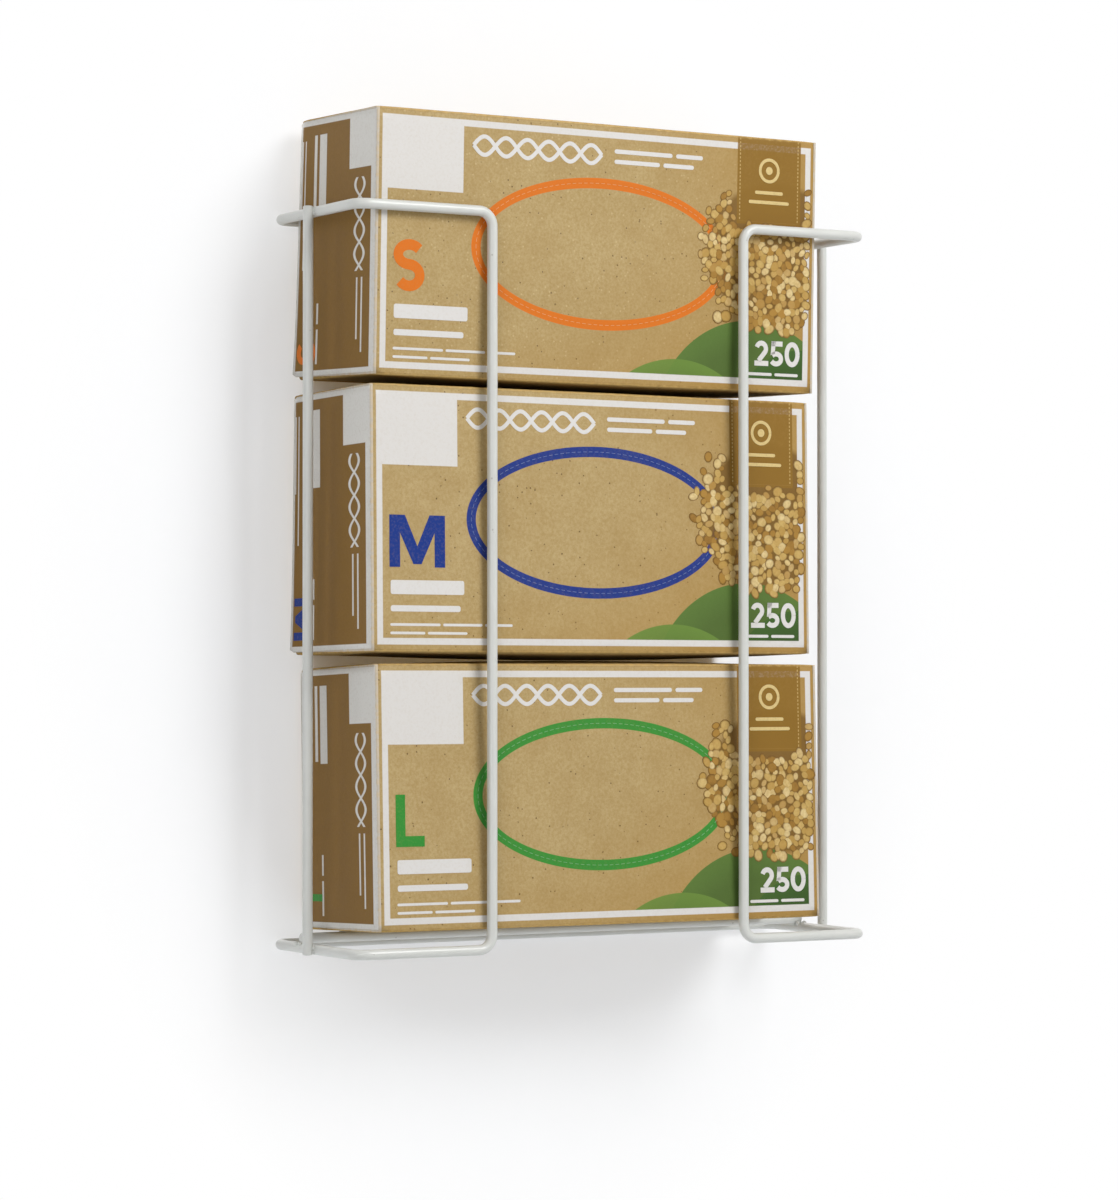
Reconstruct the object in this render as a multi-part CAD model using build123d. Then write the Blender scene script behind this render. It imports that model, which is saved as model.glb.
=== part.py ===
from build123d import *
import math
import os

# Wire rack, millimetres. X runs along the wall, +Y points into the wall, Z is up.
# The origin lies under the middle of the rack, level with the underside of its lower loop.
wire_diameter = 4.8
end_room = 30.2  # inside a loop, beyond the length of a carton
depth_room = 2.7  # inside a loop, beyond the depth of a carton
loop_spacing = 337.0  # from the lower loop's centreline to the upper one's
front_wire_spacing = 137.0  # between the two front wires
bend_radius = 6.9  # of the wire's centreline
shelf_wire_from_back = 27.0  # from the back run's centreline
shelf_wire_reach = 0.5  # past the centreline of each side run
weld_set_down = 0.5  # how far a crossing wire melts into the other

# Screw tabs, welded to the back runs between the two loops
tab_width = 16.0
tab_thickness = 1.6
tab_overlap = 1.2  # from the back run's centreline to the tab's welded edge
tab_hole_drop = 14.0  # from the back run's centreline to the screw hole
tab_end_margin = 7.5  # from the hole's centre to the tab's free end
tab_hole_diameter = 5.0
tab_corner_cut = 3.0
tab_inset = 42.5  # from a side run's centreline to the middle of the tab

# Cartons of folded board, swollen by what is packed in them
carton_length = 240.0
carton_depth = 75.0
carton_height = 121.3
fold_width = 0.8  # the worn corner of a fold
panel_crown = 2.6  # rise of a top or bottom panel at its middle, except where it is pressed on a wire
board_thickness = 0.5
flap_back_margin = 4.0  # from the end flap's free edge to the back panel
flap_side_margin = 1.2  # from the end flap's cut edges to the top and bottom folds

# Gaps that the cartons rest at: on each other, on the shelf wire and behind the front wires
stack_gap = 0.3
shelf_gap = 0.2
front_gap = 0.35

# How each carton has settled in the rack, from the bottom up: its name, its shift along the wall,
# and its lean about X, its roll about Y and its turn about Z in degrees
settled_cartons = [
    ("carton_large", -5.6, -2.05, 0.15, 0.0),
    ("carton_medium", -10.3, -1.2, 0.2, 0.8),
    ("carton_small", -7.8, 1.5, 0.1, 0.25),
]

# Half sizes of a loop are taken to the wire's centreline
wire_radius = wire_diameter / 2
half_width = (carton_length + end_room) / 2 + wire_radius
half_depth = (carton_depth + depth_room) / 2 + wire_radius
lower_level = wire_radius
upper_level = lower_level + loop_spacing
crossing = wire_diameter - weld_set_down  # between the centrelines of two welded wires
wall_face = half_depth + wire_radius  # the plane that the rack's back lies on


def round_wire(path):
    section = Plane(origin=path @ 0, z_dir=path % 0) * Circle(wire_radius)
    return sweep(section, path=path)


def half_frame():
    # From the middle of the upper back run, round the left side and down to the lower one
    front = front_wire_spacing / 2
    loop = [
        (0, half_depth),
        (-half_width, half_depth),
        (-half_width, -half_depth),
        (-front, -half_depth),
    ]
    points = [(x, y, upper_level) for x, y in loop]
    points += [(x, y, lower_level) for x, y in reversed(loop)]
    return round_wire(FilletPolyline(*points, radius=bend_radius))


def frame_wire():
    left = half_frame()
    return (left + mirror(left, about=Plane.YZ)).clean()


def upright(side, frame):
    height = loop_spacing + wire_diameter
    rod = Cylinder(wire_radius, height, align=(Align.CENTER, Align.CENTER, Align.MIN))
    return Pos(side * (half_width + crossing), 0, 0) * rod - frame


def shelf_wire(frame):
    rod = Rot(0, 90, 0) * Cylinder(wire_radius, 2 * (half_width + shelf_wire_reach))
    y = half_depth - shelf_wire_from_back
    return Pos(0, y, lower_level + crossing) * rod - frame


def mount_tab(side, level, direction, frame):
    # direction is +1 for a tab that stands on the lower back run, -1 for one that hangs
    length = tab_hole_drop + tab_end_margin - tab_overlap
    blank = Rectangle(tab_width, length, align=(Align.CENTER, Align.MIN))
    free_corners = blank.vertices().sort_by(Axis.Y)[2:]
    blank = chamfer(free_corners, tab_corner_cut)
    blank -= Pos(0, tab_hole_drop - tab_overlap) * Circle(tab_hole_diameter / 2)
    plate = extrude(Rot(90, 0, 0) * blank, tab_thickness)
    if direction < 0:
        plate = mirror(plate, about=Plane.XY)
    z = level + direction * tab_overlap
    return Pos(side * (half_width - tab_inset), wall_face, z) * plate - frame


def arch(half_span):
    # Its foot is sunk into the carton by the width of a fold
    a = half_span
    foot = Polyline((-a, 0), (-a, -fold_width), (a, -fold_width), (a, 0))
    return make_face([*foot.edges(), ThreePointArc((-a, 0), (0, panel_crown), (a, 0))])


def swollen_top():
    # The rise of the top panel between its folds, arched along the carton and across it
    x = carton_length / 2 - fold_width
    y = carton_depth / 2 - fold_width
    along = extrude(Plane.XZ * arch(x), y, both=True)
    across = extrude(Plane.YZ * arch(y), x, both=True)
    return Pos(0, 0, carton_height / 2) * (along & across)


def carton(on_shelf):
    top = swollen_top()
    block = Box(carton_length, carton_depth, carton_height)
    block = chamfer(block.edges(), fold_width) + top
    if not on_shelf:
        block += mirror(top, about=Plane.XY)

    # The outer end flap is hinged at the front fold and lies on the flaps folded in from above,
    # below and behind, one board lower
    flap = Pos(0, -flap_back_margin) * Box(
        2 * carton_length, carton_depth, carton_height - 2 * flap_side_margin
    )
    core = Box(carton_length - 2 * board_thickness, 2 * carton_depth, 2 * carton_height)
    return block - (Box(2 * carton_length, 2 * carton_depth, 2 * carton_height) - flap - core)


def depth_place(shift, lean, turn, z):
    # The carton comes forward until its front face meets the front wires, or the front runs of
    # the upper loop if it stands through it
    slope = math.sin(math.radians(lean))
    skew = math.sin(math.radians(turn))
    if abs(upper_level - z) < carton_height / 2:
        reach = carton_length / 2 * abs(skew) + (upper_level - z) * slope
    else:
        forward_wire = math.copysign(front_wire_spacing / 2, -turn)
        reach = abs((forward_wire - shift) * skew) + carton_height / 2 * abs(slope)
    return -half_depth + wire_radius + front_gap + reach + carton_depth / 2


def place_cartons():
    # Each carton stands on the crown of the one below, the first on the shelf wire
    shelf_y = half_depth - shelf_wire_from_back
    support = lower_level + crossing + wire_radius + shelf_gap
    placed = {}
    for name, shift, lean, roll, turn in settled_cartons:
        on_shelf = not placed
        z = support + carton_height / 2
        if not on_shelf:
            z += panel_crown
        y = depth_place(shift, lean, turn, z)
        if on_shelf:
            z += abs((shelf_y - y) * math.sin(math.radians(lean)))
            z += abs(carton_length / 2 * math.sin(math.radians(roll)))
        place = Pos(shift, y, z) * Rot(lean, roll, turn)
        placed[name] = place * carton(on_shelf)
        support = z + carton_height / 2 + panel_crown + stack_gap
    return placed


frame = frame_wire()
nodes = {
    "frame_wire": frame,
    "left_upright": upright(-1, frame),
    "right_upright": upright(1, frame),
    "shelf_wire": shelf_wire(frame),
    "mount_tab_top_left": mount_tab(-1, upper_level, -1, frame),
    "mount_tab_top_right": mount_tab(1, upper_level, -1, frame),
    "mount_tab_bottom_left": mount_tab(-1, lower_level, 1, frame),
    "mount_tab_bottom_right": mount_tab(1, lower_level, 1, frame),
}
nodes.update(place_cartons())

os.makedirs("parts", exist_ok=True)
for name, shape in nodes.items():
    export_step(shape, f"parts/{name}.step")
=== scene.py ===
import bmesh
import bpy
import math
from mathutils import Matrix, Vector, noise


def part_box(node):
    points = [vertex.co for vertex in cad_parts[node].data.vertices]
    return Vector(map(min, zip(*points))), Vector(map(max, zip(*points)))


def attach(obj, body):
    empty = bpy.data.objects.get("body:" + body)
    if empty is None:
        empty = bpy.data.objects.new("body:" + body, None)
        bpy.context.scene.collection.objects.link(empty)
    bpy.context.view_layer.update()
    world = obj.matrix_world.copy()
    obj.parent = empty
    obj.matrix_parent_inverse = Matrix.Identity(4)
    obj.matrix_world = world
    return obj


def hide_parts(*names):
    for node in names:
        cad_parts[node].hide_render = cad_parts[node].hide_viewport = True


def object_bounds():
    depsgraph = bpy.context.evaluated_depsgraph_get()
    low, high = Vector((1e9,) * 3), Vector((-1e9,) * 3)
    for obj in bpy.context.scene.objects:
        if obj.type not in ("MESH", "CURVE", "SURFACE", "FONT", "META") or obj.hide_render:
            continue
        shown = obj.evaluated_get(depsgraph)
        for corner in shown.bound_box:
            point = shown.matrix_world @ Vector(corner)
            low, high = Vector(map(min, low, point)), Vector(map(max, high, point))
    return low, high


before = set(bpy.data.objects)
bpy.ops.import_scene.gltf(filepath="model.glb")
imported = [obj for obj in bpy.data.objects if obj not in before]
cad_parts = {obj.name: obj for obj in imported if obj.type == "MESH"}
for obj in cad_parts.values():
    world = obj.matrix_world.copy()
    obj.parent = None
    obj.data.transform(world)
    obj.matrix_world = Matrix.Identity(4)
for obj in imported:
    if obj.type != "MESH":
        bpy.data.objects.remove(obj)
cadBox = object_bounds()
mm = 0.001
print("frame loaded:", len(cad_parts), "nodes")


# Node trees: sums and products of terms become Math nodes, every other node comes from Graph.node

class Graph:
    def __init__(self, tree):
        self.tree = tree

    def node(self, kind, settings=None, values=None, out=0):
        made = self.tree.nodes.new(kind)
        for name, value in (settings or {}).items():
            if name == "stops":
                ramp = made.color_ramp
                while len(ramp.elements) < len(value):
                    ramp.elements.new(1.0)
                for element, (at, colour) in zip(ramp.elements, value):
                    element.position = at
                    element.color = colour
            else:
                setattr(made, name, value)
        for name, value in (values or {}).items():
            if isinstance(value, Term):
                self.tree.links.new(value.socket, made.inputs[name])
            else:
                made.inputs[name].default_value = value
        return Term(self, made.outputs[out] if len(made.outputs) else None)


class Term:
    def __init__(self, graph, socket):
        self.graph = graph
        self.socket = socket

    def part(self, index):
        return Term(self.graph, self.socket.node.outputs[index])

    def math(self, operation, first, second=0.0):
        return self.graph.node("ShaderNodeMath", {"operation": operation}, {0: first, 1: second})

    def __add__(self, other):
        return self.math("ADD", self, other)

    def __radd__(self, other):
        return self.math("ADD", other, self)

    def __sub__(self, other):
        return self.math("SUBTRACT", self, other)

    def __rsub__(self, other):
        return self.math("SUBTRACT", other, self)

    def __mul__(self, other):
        return self.math("MULTIPLY", self, other)

    def __rmul__(self, other):
        return self.math("MULTIPLY", other, self)

    def __truediv__(self, other):
        return self.math("DIVIDE", self, other)

    def __abs__(self):
        return self.math("ABSOLUTE", self)

    def root(self):
        return self.math("SQRT", self)

    def sine(self):
        return self.math("SINE", self)

    def pingPong(self, reach):
        return self.math("PINGPONG", self, reach)

    def over(self, edge):
        return self.math("GREATER_THAN", self, edge)

    def least(self, other):
        return self.math("MINIMUM", self, other)

    def most(self, other):
        return self.math("MAXIMUM", self, other)

    def below(self, edge, soft):
        # 1 where the term is under the edge and 0 over it, ramped over the given half width
        values = {0: self, 1: -0.5 / soft, 2: 0.5 + 0.5 * edge / soft}
        settings = {"operation": "MULTIPLY_ADD", "use_clamp": True}
        return self.graph.node("ShaderNodeMath", settings, values)


def tone(red, green, blue):
    # A colour as seen on screen, 0 to 255, as the linear values that sockets take
    def linear(value):
        value /= 255
        return value / 12.92 if value <= 0.04045 else ((value + 0.055) / 1.055) ** 2.4
    return (linear(red), linear(green), linear(blue), 1.0)


def blendTones(mask, under, over):
    return mask.graph.node("ShaderNodeMix", {"data_type": "RGBA"}, {0: mask, 6: under, 7: over}, out=2)


def boxDistance(u, v, area):
    # Distance outside a rectangle given by its left, bottom, right and top, negative inside
    left, bottom, right, top = area
    across = abs(u - (left + right) / 2) - (right - left) / 2
    upward = abs(v - (bottom + top) / 2) - (top - bottom) / 2
    return across.most(upward)


def squares(first, second):
    return first * first + second * second


def seenAndShadow(graph):
    # Camera, glossy and transmission rays, and the shadow rays
    ray = graph.node("ShaderNodeLightPath")
    return ray.most(ray.part(3)).most(ray.part(7)), ray.part(1)


def newMaterial(name):
    material = bpy.data.materials.new(name)
    material.use_nodes = True
    material.node_tree.nodes.clear()
    return material, Graph(material.node_tree)


def finishMaterial(graph, colour, roughness, height=None, depth=0.0, **constants):
    values = {"Base Color": colour, "Roughness": roughness}
    values.update({name.replace("_", " "): value for name, value in constants.items()})
    if height is not None:
        values["Normal"] = graph.node("ShaderNodeBump", {}, {"Height": height, "Distance": depth})
    surface = graph.node("ShaderNodeBsdfPrincipled", {}, values)
    graph.node("ShaderNodeOutputMaterial", {}, {"Surface": surface})


# Camera and light

camera = {
    "place": (-0.9420, -1.5811, 0.1340),
    "azimuth": -30.55,
    "elevation": -0.90,
    "focalLength": 116.37,  # for a 36 mm sensor along the picture's long side
}


def makeCamera(values):
    data = bpy.data.cameras.new("photoCamera")
    data.lens = values["focalLength"]
    data.sensor_width = 36.0
    data.clip_start = 0.05
    data.clip_end = 30.0
    rig = bpy.data.objects.new("photoCamera", data)
    bpy.context.scene.collection.objects.link(rig)
    a = math.radians(values["azimuth"])
    e = math.radians(values["elevation"])
    forward = Vector((-math.sin(a) * math.cos(e), math.cos(a) * math.cos(e), -math.sin(e)))
    rig.location = values["place"]
    rig.rotation_mode = "QUATERNION"
    rig.rotation_quaternion = forward.to_track_quat("-Z", "Y")
    bpy.context.scene.camera = rig


makeCamera(camera)
bpy.context.scene.view_settings.view_transform = "Standard"

lamps = {
    # name: place, what it points at, size, watts
    "keyLamp": ((0.62, -1.58, 1.40), (0.0, 0.0, 0.19), 1.05, 33.0),
    "fillLamp": ((-1.7, -1.3, 0.35), (0.0, 0.0, 0.19), 1.2, 9.0),
    "backLamp": ((0.35, 1.7, 0.75), (0.0, 0.0, 0.19), 1.0, 17.0),  # for views from behind the wall
}
ambient = 0.27

for name, (place, aim, size, watts) in lamps.items():
    lamp = bpy.data.lights.new(name, "AREA")
    lamp.shape = "DISK"
    lamp.size = size
    lamp.energy = watts
    holder = bpy.data.objects.new(name, lamp)
    holder.location = place
    holder.rotation_mode = "QUATERNION"
    holder.rotation_quaternion = (Vector(aim) - Vector(place)).to_track_quat("-Z", "Y")
    bpy.context.scene.collection.objects.link(holder)

world = bpy.data.worlds.new("studio")
bpy.context.scene.world = world
world.use_nodes = True
world.node_tree.nodes.clear()
sky = Graph(world.node_tree)
level = seenAndShadow(sky)[0] * (1.0 - ambient) + ambient
backdrop = sky.node("ShaderNodeBackground", {}, {"Color": (1.0, 1.0, 1.0, 1.0), "Strength": level})
sky.node("ShaderNodeOutputWorld", {}, {"Surface": backdrop})


# The wall behind the rack and the floor below it, seen from their front only

stage = {
    "reach": 3.0,
    "wallGap": 0.0002,
    "floorDrop": 1.1,  # the floor's level under the rack
    "lift": 0.44,  # share of plain white that a camera ray adds near the rack
    "shadeReach": (0.17, 0.26),  # from the shadow's middle to where plain white begins and is whole
    "shadeMiddle": 0.17,  # its height
    "shadeTall": 0.8,  # how a height counts beside a width, so that the shadow's field is taller
    "darkInset": (0.006, 0.01),  # of the dark field behind the cartons, from their ends and tops
    "darkSoft": 0.004,
}


def stageMaterial(values):
    material, graph = newMaterial("stagePaint")
    spot = graph.node("ShaderNodeTexCoord", out=3)
    grain = graph.node("ShaderNodeTexNoise", {}, {"Vector": spot, "Scale": 60.0, "Detail": 3.0})
    paint = blendTones(grain, tone(246, 248, 251), tone(250, 251, 253))
    matt = graph.node("ShaderNodeBsdfDiffuse", {}, {"Color": paint})
    white = graph.node("ShaderNodeEmission", {}, {"Color": (1.0, 1.0, 1.0, 1.0)})
    seen, shadow = seenAndShadow(graph)
    near, far = values["shadeReach"]
    across = graph.node("ShaderNodeSeparateXYZ", {}, {0: spot})
    upward = (across.part(2) - values["shadeMiddle"]) * values["shadeTall"]
    away = squares(across, upward).root()
    plain = ((away - near) / (far - near)).most(0.0).least(1.0)
    # behind the cartons the wall stays as dark as it is, so the gaps between them stay dark
    low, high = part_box("carton_large"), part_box("carton_small")
    insetX, insetZ = values["darkInset"]
    area = (low[0].x + insetX, low[0].z + insetZ, low[1].x - insetX, high[1].z - insetZ)
    behind = boxDistance(across, across.part(2), area).below(0.0, values["darkSoft"])
    share = (values["lift"] + (1.0 - values["lift"]) * plain) * (1.0 - behind)
    lifted = graph.node("ShaderNodeMixShader", {}, {0: seen * share, 1: matt, 2: white})
    clear = graph.node("ShaderNodeBsdfTransparent")
    # seen from behind it's clear, and it lets the lamp behind it light the object's back
    hidden = graph.node("ShaderNodeNewGeometry", out=6).most(shadow)
    surface = graph.node("ShaderNodeMixShader", {}, {0: hidden, 1: lifted, 2: clear})
    graph.node("ShaderNodeOutputMaterial", {}, {"Surface": surface})
    return material


def makeStage(values):
    reach = values["reach"]
    y = cadBox[1].y + values["wallGap"]
    floor = -values["floorDrop"]
    paint = stageMaterial(values)
    foot = [(-reach, y, floor), (reach, y, floor)]
    faces = {
        "wall": foot + [(reach, y, reach), (-reach, y, reach)],
        "floor": [(-reach, -reach, floor), (reach, -reach, floor)] + foot[::-1],
    }
    for name, corners in faces.items():
        mesh = bpy.data.meshes.new(name)
        mesh.from_pydata(corners, [], [(0, 1, 2, 3)])
        mesh.materials.append(paint)
        plane = bpy.data.objects.new(name, mesh)
        bpy.context.scene.collection.objects.link(plane)


makeStage(stage)
print("camera, lamps and wall made")


# Geometry Nodes: one call makes a tree with named inputs, runs it on a mesh and keeps the result

def runTree(name, mesh, inputs, build):
    tree = bpy.data.node_groups.new(name, "GeometryNodeTree")
    graph = Graph(tree)
    tree.interface.new_socket(name="Geometry", in_out="INPUT", socket_type="NodeSocketGeometry")
    tree.interface.new_socket(name="Geometry", in_out="OUTPUT", socket_type="NodeSocketGeometry")
    kinds = {int: "NodeSocketInt", float: "NodeSocketFloat"}
    sockets = {}
    for label, value in inputs.items():
        sockets[label] = tree.interface.new_socket(
            name=label, in_out="INPUT", socket_type=kinds[type(value)])
    start = graph.node("NodeGroupInput")
    given = {label: start.part(i + 1) for i, label in enumerate(inputs)}
    result = build(graph, start, given)
    graph.node("NodeGroupOutput", {}, {0: result})
    piece = bpy.data.objects.new(name, mesh)
    bpy.context.scene.collection.objects.link(piece)
    modifier = piece.modifiers.new(name, "NODES")
    modifier.node_group = tree
    for label, value in inputs.items():
        modifier[sockets[label].identifier] = value
    bpy.context.view_layer.update()
    evaluated = piece.evaluated_get(bpy.context.evaluated_depsgraph_get())
    made = bpy.data.meshes.new_from_object(evaluated)
    made.name = name
    piece.modifiers.clear()
    bpy.data.objects.remove(piece)
    return made


def addPiece(name, mesh, replaced=(), smooth=True):
    piece = bpy.data.objects.new(name, mesh)
    bpy.context.scene.collection.objects.link(piece)
    for polygon in mesh.polygons:
        polygon.use_smooth = smooth
    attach(piece, "root")
    if replaced:
        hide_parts(*replaced)


# Wire rack

rack = {
    "wire": 4.8 * mm,
    "bendRadius": 6.9 * mm,  # of the wire's centreline
    "frontWires": 137.0 * mm,  # between the two front wires
    "bendSteps": 9,
    "roundSteps": 28,
    "endRound": 0.7 * mm,  # of a cut wire's ends
}


def powderCoat():
    material, graph = newMaterial("powderCoat")
    spot = graph.node("ShaderNodeTexCoord", out=3)
    peel = graph.node("ShaderNodeTexNoise", {}, {"Vector": spot, "Scale": 700.0, "Detail": 2.0})
    drift = graph.node("ShaderNodeTexNoise", {}, {"Vector": spot, "Scale": 45.0, "Detail": 3.0})
    pits = graph.node("ShaderNodeTexVoronoi", {}, {"Vector": spot, "Scale": 160.0})
    speck = pits.below(0.07, 0.02) * drift.below(0.47, 0.02)
    coat = blendTones(drift, tone(204, 205, 200), tone(213, 214, 209))
    coat = blendTones(speck * 0.5, coat, tone(150, 145, 135))
    height = peel * 0.6 + drift * 1.2 - speck * 0.8
    finishMaterial(graph, coat, 0.25 + 0.1 * drift, height, 0.00005)
    return material


coatPaint = powderCoat()


def frameCorners(values):
    # The wire's own corners, once round both loops and the front wires
    low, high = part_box("frame_wire")
    r = values["wire"] / 2
    x, y, front = high.x - r, high.y - r, values["frontWires"] / 2
    upper, lower = high.z - r, low.z + r
    left = [(-front, -y), (-x, -y), (-x, y)]
    right = [(x, y), (x, -y), (front, -y)]
    return [(*p, upper) for p in left + right] + [(*p, lower) for p in reversed(left + right)]


def frameWire(values):
    corners = frameCorners(values)
    mesh = bpy.data.meshes.new("frameRoute")
    mesh.from_pydata(corners, [(i, (i + 1) % len(corners)) for i in range(len(corners))], [])

    def build(graph, start, given):
        curve = graph.node("GeometryNodeMeshToCurve", {}, {0: start})
        bent = graph.node("GeometryNodeFilletCurve", {"mode": "POLY"}, {
            "Curve": curve, "Count": given["Bend steps"], "Radius": given["Bend radius"]})
        ring = graph.node("GeometryNodeCurvePrimitiveCircle", {}, {
            "Resolution": given["Round steps"], "Radius": given["Wire radius"]})
        tube = graph.node("GeometryNodeCurveToMesh", {}, {0: bent, 1: ring})
        whole = graph.node("GeometryNodeRealizeInstances", {}, {0: tube})
        return graph.node("GeometryNodeSetMaterial", {}, {0: whole, "Material": coatPaint})

    inputs = {
        "Bend steps": values["bendSteps"],
        "Bend radius": values["bendRadius"],
        "Round steps": values["roundSteps"],
        "Wire radius": values["wire"] / 2,
    }
    return runTree("frameWire", mesh, inputs, build)


def roundRod(name, first, last, radius, endRound, steps):
    # A cut wire with slightly rounded ends
    first, last = Vector(first), Vector(last)
    along = (last - first).normalized()
    side = along.orthogonal().normalized()
    other = along.cross(side)
    length = (last - first).length
    turns = [math.pi / 2 * k / 4 for k in (4, 3, 2, 1, 0)]
    cap = [(endRound * (1 - math.sin(t)), radius - endRound * (1 - math.cos(t))) for t in turns]
    rings = cap + [(length * k / 12, radius) for k in range(1, 12)]
    rings += [(length - at, wide) for at, wide in reversed(cap)]
    shape = bmesh.new()
    previous = None
    for at, wide in rings:
        ring = []
        for i in range(steps):
            turn = 2 * math.pi * i / steps
            out = side * math.cos(turn) + other * math.sin(turn)
            ring.append(shape.verts.new(first + along * at + out * wide))
        if previous:
            for i in range(steps):
                j = (i + 1) % steps
                shape.faces.new((previous[i], previous[j], ring[j], ring[i]))
        else:
            shape.faces.new(list(reversed(ring)))
        previous = ring
    shape.faces.new(previous)
    mesh = bpy.data.meshes.new(name)
    shape.to_mesh(mesh)
    shape.free()
    mesh.materials.append(coatPaint)
    return mesh


def makeRack(values):
    r = values["wire"] / 2
    addPiece("frameWire", frameWire(values), ["frame_wire"])
    for side in ("left", "right"):
        node = side + "_upright"
        low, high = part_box(node)
        middle = (low + high) / 2
        x = low.x + r if side == "left" else high.x - r
        rod = roundRod(side + "Upright", (x, middle.y, low.z), (x, middle.y, high.z), r,
                       values["endRound"], values["roundSteps"])
        addPiece(side + "Upright", rod, [node])
    low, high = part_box("shelf_wire")
    rod = roundRod("shelfWire", (low.x, high.y - r, high.z - r), (high.x, high.y - r, high.z - r), r,
                   values["endRound"], values["roundSteps"])
    addPiece("shelfWire", rod, ["shelf_wire"])
    # the four tabs stay as they are and get the same coat
    for name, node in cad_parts.items():
        if name.startswith("mount_tab"):
            node.data.materials.clear()
            node.data.materials.append(coatPaint)


makeRack(rack)

welds = {
    "size": 1.35 * mm,  # half width of a weld lump
    "uneven": 0.22,
    "seed": 4,
    "spread": 0.75,  # of the lumps round a crossing, in wire radii
    "spreadUp": 0.35,
    "tabInset": 1.0 * mm,  # from a tab's welded edge
    "tabGap": 0.1 * mm,  # in front of the tab
}


def weldSpots(values):
    # Middle of each crossing, between the centrelines of its two wires, and along the tabs' edges
    r = rack["wire"] / 2
    spots = []
    low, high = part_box("frame_wire")
    for node in ("left_upright", "right_upright"):
        a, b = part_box(node)
        inner = b.x if node.startswith("left") else a.x
        for z in (low.z + r, high.z - r):
            for dy, dz in ((-1, -1), (-1, 1), (1, -1), (1, 1)):
                spots.append((inner, (a.y + b.y) / 2 + dy * values["spread"] * r,
                              z + dz * values["spreadUp"] * r))
    a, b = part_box("shelf_wire")
    for x in (low.x + r, high.x - r):
        for dx, dy in ((-1, -1), (-1, 1), (1, -1), (1, 1)):
            spots.append((x + dx * values["spread"] * r, b.y - r + dy * values["spread"] * r, a.z))
    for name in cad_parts:
        if name.startswith("mount_tab"):
            a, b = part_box(name)
            z = b.z - values["tabInset"] if "top" in name else a.z + values["tabInset"]
            spots += [(a.x + (b.x - a.x) * k / 6, a.y - values["tabGap"], z) for k in (1, 2, 4, 5)]
    return spots


def weldLumps(values):
    mesh = bpy.data.meshes.new("weldSpots")
    mesh.from_pydata(weldSpots(values), [], [])

    def build(graph, start, given):
        ball = graph.node("GeometryNodeMeshIcoSphere", {}, {
            "Radius": given["Lump size"], "Subdivisions": 3})
        spot = graph.node("GeometryNodeInputPosition")
        ripple = graph.node("ShaderNodeTexNoise", {}, {"Vector": spot, "Scale": 420.0, "Detail": 2.0})
        push = graph.node("GeometryNodeInputNormal")
        grow = (ripple - 0.5) * given["Lump size"] * given["Uneven"]
        offset = graph.node("ShaderNodeVectorMath", {"operation": "SCALE"}, {0: push, "Scale": grow})
        lump = graph.node("GeometryNodeSetPosition", {}, {0: ball, "Offset": offset})
        size = graph.node("FunctionNodeRandomValue", {"data_type": "FLOAT"}, {
            2: 0.72, 3: 1.0, "Seed": given["Seed"]}, out=1)
        turn = graph.node("FunctionNodeRandomValue", {"data_type": "FLOAT_VECTOR"}, {
            0: (0.0, 0.0, 0.0), 1: (6.28, 6.28, 6.28), "Seed": given["Seed"]})
        placed = graph.node("GeometryNodeInstanceOnPoints", {}, {
            "Points": start, "Instance": lump, "Rotation": turn, "Scale": size})
        whole = graph.node("GeometryNodeRealizeInstances", {}, {0: placed})
        return graph.node("GeometryNodeSetMaterial", {}, {0: whole, "Material": coatPaint})

    inputs = {"Lump size": values["size"], "Uneven": values["uneven"], "Seed": values["seed"]}
    return runTree("weldLumps", mesh, inputs, build)


addPiece("weldLumps", weldLumps(welds))
print("rack made")


# Cartons: each is a closed board box with an outer flap on each end, and its print

box = {
    "crown": 2.6,  # all in millimetres
    "fold": 1.1,
    "board": 0.5,
    "panelSteps": (48, 16, 24),
    "flapBack": 2.2,  # from an end flap's free edge to the back panel
    "flapTaper": 0.9,
    "flapCorner": 1.2,
    "flapThin": 0.06,  # what a flap is thinner than the step it lies in
    "flapStart": 0.6,  # how far it runs on to the front panel, and how far over it
    "flapProud": 0.012,
    "flapGap": 0.35,  # from its cut edges to the carton's own folds
    "flapWave": 0.10,
    "flapSteps": 22,
    "flapRows": 30,
    "rightLifts": (0.5, 0.4),  # of a right end flap's lower and upper back corners
    "dent": 0.12,
    "cornerWear": 0.45,
    "wornFrom": 0.93,  # share of the half sizes past which a corner is worn
    "wornOver": 0.07,
    "onPanel": 0.985,  # share past which a place is pushed with its panel
    "seamWidth": 14.0,
    "seamInset": 3.0,
    "seamTaper": 3.0,
    "seamThick": 0.32,
    "seamSunk": 0.12,
}

settled = {
    # node: lean about X, roll about Y and turn about Z in degrees, ink, size letter,
    # how far the left end flap's lower and upper back corners stand off, seed
    "carton_small": ((1.5, 0.1, 0.25), (214, 112, 26), "S", (3.8, 0.6), 1),
    "carton_medium": ((-1.2, 0.2, 0.8), (14, 48, 126), "M", (3.4, 0.3), 2),
    "carton_large": ((-2.05, 0.15, 0.0), (50, 136, 50), "L", (0.6, 0.5), 3),
}


def shortName(node):
    return node.replace("carton_", "")


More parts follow.
